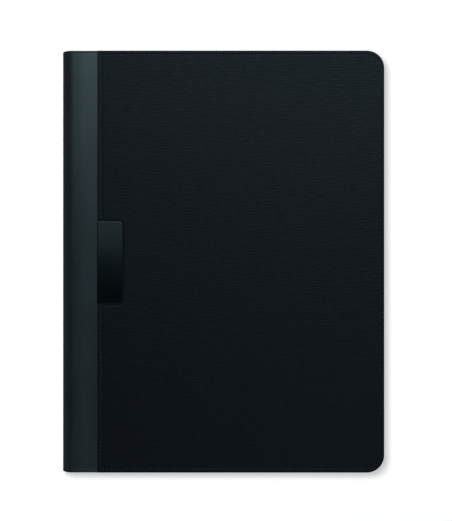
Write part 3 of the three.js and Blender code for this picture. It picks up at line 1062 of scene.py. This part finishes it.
def stitch_tree(material):
    """Geometry Nodes that lay a stitch at every pitch along a seam, turned to the seam and its surface."""
    tree = bpy.data.node_groups.new("Stitches", "GeometryNodeTree")
    tree.interface.new_socket("Geometry", in_out="INPUT", socket_type="NodeSocketGeometry")
    for label in STITCH_INPUTS:
        tree.interface.new_socket(label, in_out="INPUT", socket_type="NodeSocketFloat")
    tree.interface.new_socket("Geometry", in_out="OUTPUT", socket_type="NodeSocketGeometry")
    start = node_of(tree, "NodeGroupInput").outputs
    seam = node_of(tree, "GeometryNodeMeshToCurve", Mesh=start["Geometry"]).outputs["Curve"]
    by_length = {"mode": "LENGTH"}
    points = node_of(tree, "GeometryNodeCurveToPoints", by_length, Curve=seam, Length=start["Pitch"]).outputs
    vectors = {"data_type": "FLOAT_VECTOR"}
    up = node_of(tree, "GeometryNodeInputNamedAttribute", vectors, Name="up").outputs["Attribute"]
    axes = {"primary_axis": "Z", "secondary_axis": "X"}
    facing = {"Primary_Axis": up, "Secondary_Axis": points["Tangent"]}
    turn = node_of(tree, "FunctionNodeAxesToRotation", axes, **facing).outputs["Rotation"]
    ball = node_of(tree, "GeometryNodeMeshUVSphere", Segments=8, Rings=6, Radius=0.5).outputs["Mesh"]
    height = calculate(tree, "MULTIPLY", start["Thread"], 0.9)
    size = node_of(tree, "ShaderNodeCombineXYZ", X=start["Length"], Y=start["Thread"], Z=height)
    angle = node_of(tree, "ShaderNodeCombineXYZ", Z=start["Slant"])
    shape = {"Scale": size.outputs["Vector"], "Rotation": angle.outputs["Vector"]}
    stitch = node_of(tree, "GeometryNodeTransform", Geometry=ball, **shape).outputs["Geometry"]
    limits = {"Min": (0.93, 0.9, 0.9), "Max": (1.05, 1.08, 1.08)}
    vary = node_of(tree, "FunctionNodeRandomValue", vectors, Seed=7, **limits).outputs["Value"]
    laid = {"Points": points["Points"], "Instance": stitch, "Rotation": turn, "Scale": vary}
    place = node_of(tree, "GeometryNodeInstanceOnPoints", **laid).outputs["Instances"]
    real = node_of(tree, "GeometryNodeRealizeInstances", Geometry=place).outputs["Geometry"]
    soft = node_of(tree, "GeometryNodeSetShadeSmooth", Geometry=real).outputs["Geometry"]
    paint = node_of(tree, "GeometryNodeSetMaterial", Geometry=soft, Material=material)
    node_of(tree, "NodeGroupOutput", Geometry=paint.outputs["Geometry"])
    return tree


def seam_mesh(name, chains):
    """Seams as chains of edges, each point with the direction that its surface faces."""
    vertices, edges, ups = [], [], []
    for chain, up, closed in chains:
        base = len(vertices)
        vertices += [tuple(p) for p in chain]
        ups += list(np.broadcast_to(up, (len(chain), 3)))
        edges += [(base + i, base + i + 1) for i in range(len(chain) - 1)]
        if closed:
            edges.append((base + len(chain) - 1, base))
    mesh = bpy.data.meshes.new(name)
    mesh.from_pydata(vertices, edges, [])
    attribute = mesh.attributes.new("up", "FLOAT_VECTOR", "POINT")
    attribute.data.foreach_set("vector", np.array(ups, np.float32).ravel())
    return mesh


def stitched(name, chains):
    """Plain mesh of the stitches along some seams."""
    tree = bpy.data.node_groups.get("Stitches") or stitch_tree(material_of("thread"))
    inputs = {i.name: i.identifier for i in tree.interface.items_tree if i.in_out == "INPUT"}
    seams = bpy.context.scene.padfolio_seams
    source = linked(name + "_seam", seam_mesh(name, chains))
    modifier = source.modifiers.new("Stitches", "NODES")
    modifier.node_group = tree
    for label in STITCH_INPUTS:
        modifier[inputs[label]] = getattr(seams, label.lower())
    evaluated = source.evaluated_get(bpy.context.evaluated_depsgraph_get())
    mesh = bpy.data.meshes.new_from_object(evaluated)
    mesh.name = name
    bpy.data.objects.remove(source)
    if not mesh.polygons:
        raise RuntimeError(f"{name}: the seams gave no stitches")
    return linked(name, mesh)


def page_seam(left, fore, half, radius, start=None, end=None):
    """A seam round a page with round fore-edge corners, from start to end on its left side."""
    turn = np.linspace(0, math.pi / 2, 13)
    points = [] if start is None else [(left, start)]
    points.append((left, -half))
    points += [(fore - radius + radius * math.sin(t), -half + radius * (1 - math.cos(t))) for t in turn]
    points += [(fore - radius + radius * math.cos(t), half - radius * (1 - math.sin(t))) for t in turn]
    points.append((left, half))
    if end is not None:
        points.append((left, end))
    return np.array(points)


def lifted(points, depth, front):
    """A flat seam's points in the row frame, at a depth in a cover."""
    return placed(points[:, 0], points[:, 1], np.full(len(points), depth), front)


OUT_OF_FRONT = (0, 0, 1)
OUT_OF_BACK = (0, 0, -1)


def band_seams(front):
    """Seams across the band's two ends, from the covering to the middle of the spine."""
    seams = bpy.context.scene.padfolio_seams
    arc, inward = roll_path(np.linspace(0, math.pi / 2, 25), ROLL_RADIUS)
    lead = np.array([[COVERING_X - 0.0012, BAND_FACE], [BOARD_X, BAND_FACE]])
    path = np.vstack([lead, arc])
    facing = np.vstack([[[0, 1], [0, 1]], inward])
    sink = seams.groove * BAND_GROOVE * SEAM_SINK
    chains = []
    for sign in (-1, 1):
        x = path[:, 0] + facing[:, 0] * sink
        depth = path[:, 1] + facing[:, 1] * sink
        y = sign * (BAND_END - seams.band_inset - roll_pull(path[:, 0]))
        up_z = facing[:, 1] if front else -facing[:, 1]
        up = np.stack([-facing[:, 0], np.zeros(len(path)), up_z], axis=-1)
        chains.append((placed(x, y, depth, front), up, False))
    return chains


class PADFOLIO_OT_stitching(bpy.types.Operator):
    """Sew the covers, the band's ends, the pockets and the pen loop"""

    bl_idname = "padfolio.stitching"
    bl_label = "Stitching"

    def execute(self, context):
        seams = context.scene.padfolio_seams
        sink = seams.groove * SEAM_SINK
        left, fore = COVERING_X + seams.side_inset, FORE_X - seams.inset
        half, radius = HALF_HEIGHT - seams.inset, CORNER_RADIUS - seams.inset
        above, below = PLATE[1][1] + PLATE_GAP, PLATE[0][1] - PLATE_GAP
        front_face = lifted(page_seam(left, fore, half, radius, below, above), sink, True)
        self.sew("front_cover_stitches", [(front_face, OUT_OF_FRONT, False)], "front_cover")
        back_face = lifted(page_seam(left, fore, half, radius), seams.thread / 2, False)
        self.sew("back_cover_stitches", [(back_face, OUT_OF_BACK, True)], "back_cover")
        for front, side in ((True, "front"), (False, "back")):
            piece = stitched(f"{side}_band_stitches", band_seams(front))
            # The band's stitches take the darker copy of the thread, which is painted shade.
            piece.data.materials[0] = material_of("painted_shade_thread")
            blend_round(piece)
        self.sew("front_inside_stitches", self.inside_seams(True), "front_cover")
        self.sew("back_inside_stitches", self.inside_seams(False), "back_cover")
        return {"FINISHED"}

    def sew(self, name, chains, body):
        """Stitches that ride with a body."""
        piece = stitched(name, chains)
        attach(piece, body)

    def inside_seams(self, front):
        """The edge seam as it comes through inside, and the seams of the pockets."""
        seams = bpy.context.scene.padfolio_seams
        up = OUT_OF_BACK if front else OUT_OF_FRONT
        box = DOCUMENT if front else PAD_POCKET
        mouth, pocket_left = box[1][1], box[0][0] + POCKET_SEAM
        left, fore, half = BOARD_X + 0.002, FORE_X - seams.inset, HALF_HEIGHT - seams.inset
        loop = page_seam(left, fore, half, CORNER_RADIUS - seams.inset)
        on_pocket = RIDGE_FACE + POCKET_SHEET
        above = [(fore, mouth + 0.001), *(p for p in loop if p[1] > mouth)]
        below = [p for p in loop if p[1] < mouth and p[0] > pocket_left]
        along_pocket = [(pocket_left, -half), *below, (fore, mouth - 0.001)]
        beside_pocket = [(left, -half), (pocket_left - 0.0015, -half)]
        chains = []
        for points, depth in ((above, RIDGE_FACE), (along_pocket, on_pocket), (beside_pocket, RIDGE_FACE)):
            chains.append((lifted(np.array(points), depth, front), up, False))
        side_y = np.array([mouth - 0.0008, -HALF_HEIGHT + RIDGE_INSET + 0.001, -half])
        side_depth = np.array([LINING_FACE, LINING_FACE, RIDGE_FACE]) + POCKET_SHEET
        chains.append((placed(np.full(3, pocket_left), side_y, side_depth, front), up, False))
        if front:
            for box in (CARD_UPPER, CARD_LOWER):
                a, b = box[0][0] + CARD_SEAM, box[1][0] - CARD_SEAM
                foot, top = box[0][1] + CARD_SEAM, box[1][1] - 0.001
                path = np.array([(a, top), (a, foot), (b, foot), (b, top)])
                chains.append((lifted(path, THICKNESS - box[1][2] + CARD_SHEET, front), up, False))
        else:
            x, ends = (LOOP[0][0] + LOOP[1][0]) / 2, LOOP[1][1] - 0.002
            path = np.array([(x - 0.002, -ends), (x + 0.002, -ends), (x + 0.002, ends), (x - 0.002, ends)])
            chains.append((lifted(path, LOOP[0][2] + LOOP_SHEET, front), up, True))
        return chains


# Stage

def overhead_material(strength):
    """The overhead panel: dark below the camera's foot and brighter towards the head of the page."""
    material = bpy.data.materials.new("overhead_light")
    material.use_nodes = True
    tree = material.node_tree
    tree.nodes.clear()
    fade = tree.nodes.new("ShaderNodeValToRGB")
    position = calculate(tree, "DIVIDE", coordinate(tree, "Y"), OVERHEAD_SPAN)
    tree.links.new(calculate(tree, "ADD", position, 0.5), fade.inputs["Fac"])
    stops = [(-0.8, 0), (-0.6, 0.55), (-0.4, 0.95), (-0.3, 0.62), (-0.2, 0.12), (-0.1, 0.22), (-0.06, 0.10),
             (-0.036, 0.01), (-0.02, 0.04), (0, 0.14), (0.02, 0.40), (0.045, 0.52), (0.1, 0.38), (0.14, 0.68),
             (0.19, 1.45), (0.3, 2.5), (0.4, 2.5), (0.5, 2.2), (0.65, 1.8), (0.8, 1.8)]
    elements = fade.color_ramp.elements
    while len(elements) < len(stops):
        elements.new(0.5)
    for element, (y, level) in zip(elements, stops):
        element.position = y / OVERHEAD_SPAN + 0.5
        element.color = (*(level / OVERHEAD_PEAK,) * 3, 1)
    aside = ramp(tree, coordinate(tree, "X"), -0.42, 0.02, 0.12, 1)
    level = calculate(tree, "MULTIPLY", fade.outputs["Color"], aside)
    level = calculate(tree, "MULTIPLY", level, strength * OVERHEAD_PEAK)
    light = node_of(tree, "ShaderNodeEmission", Color=(0.64, 0.95, 1.05, 1), Strength=level)
    node_of(tree, "ShaderNodeOutputMaterial", Surface=light.outputs["Emission"])
    return material


def flat_square(name, half, z, facing_up):
    """A level square that belongs to the stage."""
    corners = [(-half, -half), (half, -half), (half, half), (-half, half)]
    face = (0, 1, 2, 3) if facing_up else (3, 2, 1, 0)
    piece = mesh_piece(name, [(x, y, z) for x, y in corners], [face])
    return piece


def area_light(name, place, target, size, power):
    """A square light that looks at a target."""
    data = bpy.data.lights.new(name, "AREA")
    data.shape = "RECTANGLE"
    data.size = data.size_y = size
    data.energy = power
    light = linked(name, data)
    light.location = place
    light.rotation_euler = (Vector(target) - Vector(place)).to_track_quat("-Z", "Y").to_euler()
    return light


class PADFOLIO_OT_stage(bpy.types.Operator):
    """Set up the floor, the lights and the camera above the closed folder"""

    bl_idname = "padfolio.stage"
    bl_label = "Stage"

    def execute(self, context):
        stage = context.scene.padfolio_stage
        self.camera(context, stage)
        floor = flat_square("floor", 6, 0, True)
        glow = {"Emission_Color": (1, 1, 1, 1), "Emission_Strength": stage.glow}
        white, _, _ = principled("floor_white", (0.86, 0.86, 0.86), 0.9, Specular_IOR_Level=0, **glow)
        floor.data.materials.append(white)
        panel = flat_square("overhead", OVERHEAD_SPAN / 2, OVERHEAD_HEIGHT, False)
        panel.data.materials.append(overhead_material(stage.overhead))
        floor.visible_glossy = False
        panel.visible_camera = False
        panel.visible_diffuse = False
        panel.visible_shadow = False
        key = area_light("key", (-0.39, 0.39, 2.0), (0, 0, 0), 0.72, stage.key)
        key.visible_glossy = False
        world = bpy.data.worlds.new("room")
        world.use_nodes = True
        sky = world.node_tree.nodes["Background"]
        sky.inputs["Color"].default_value = (0.6, 0.9, 1, 1)
        sky.inputs["Strength"].default_value = stage.room
        context.scene.world = world
        view = context.scene.view_settings
        view.view_transform = "Standard"
        view.look = "None"
        view.exposure = 0
        view.gamma = 1
        return {"FINISHED"}

    def camera(self, context, stage):
        """A long lens straight above the cover, a little off its middle as the photograph frames it."""
        width, height = PHOTO_SIZE
        data = bpy.data.cameras.new("camera")
        data.sensor_fit = "VERTICAL"
        data.sensor_height = 36
        data.lens = data.sensor_height * stage.camera_height / (height * stage.pixel)
        data.clip_end = 50
        camera = linked("camera", data)
        x = (width / 2 - PHOTO_MIDDLE[0]) * stage.pixel
        y = (PHOTO_MIDDLE[1] - height / 2) * stage.pixel
        camera.location = (x, y, THICKNESS + stage.camera_height)
        context.scene.camera = camera


class PADFOLIO_PT_panel(bpy.types.Panel):
    """Lists the padfolio's operators"""

    bl_label = "Padfolio"
    bl_space_type = "VIEW_3D"
    bl_region_type = "UI"
    bl_category = "Padfolio"

    def draw(self, context):
        for operator in OPERATORS:
            self.layout.operator(operator.bl_idname)
        for name in SETTINGS:
            settings = getattr(context.scene, name)
            for prop in settings.__annotations__:
                self.layout.prop(settings, prop)


SETTINGS = {
    "padfolio_seams": SeamSettings,
    "padfolio_finish": FinishSettings,
    "padfolio_stage": StageSettings,
}
OPERATORS = (
    PADFOLIO_OT_stage,
    PADFOLIO_OT_coverings,
    PADFOLIO_OT_band,
    PADFOLIO_OT_lining,
    PADFOLIO_OT_plate,
    PADFOLIO_OT_boards,
    PADFOLIO_OT_pockets,
    PADFOLIO_OT_pad,
    PADFOLIO_OT_pen_loop,
    PADFOLIO_OT_stitching,
)


def register():
    for settings in SETTINGS.values():
        bpy.utils.register_class(settings)
    for operator in OPERATORS:
        bpy.utils.register_class(operator)
    bpy.utils.register_class(PADFOLIO_PT_panel)
    for name, settings in SETTINGS.items():
        setattr(bpy.types.Scene, name, bpy.props.PointerProperty(type=settings))


def unregister():
    for name in SETTINGS:
        delattr(bpy.types.Scene, name)
    bpy.utils.unregister_class(PADFOLIO_PT_panel)
    for operator in reversed(OPERATORS):
        bpy.utils.unregister_class(operator)
    for settings in SETTINGS.values():
        bpy.utils.unregister_class(settings)


def main():
    register()
    bpy.ops.padfolio.stage()
    bpy.ops.padfolio.coverings()
    bpy.ops.padfolio.band()
    bpy.ops.padfolio.lining()
    bpy.ops.padfolio.plate()
    bpy.ops.padfolio.boards()
    bpy.ops.padfolio.pockets()
    bpy.ops.padfolio.pad()
    bpy.ops.padfolio.pen_loop()
    bpy.ops.padfolio.stitching()


if __name__ == "__main__":
    main()
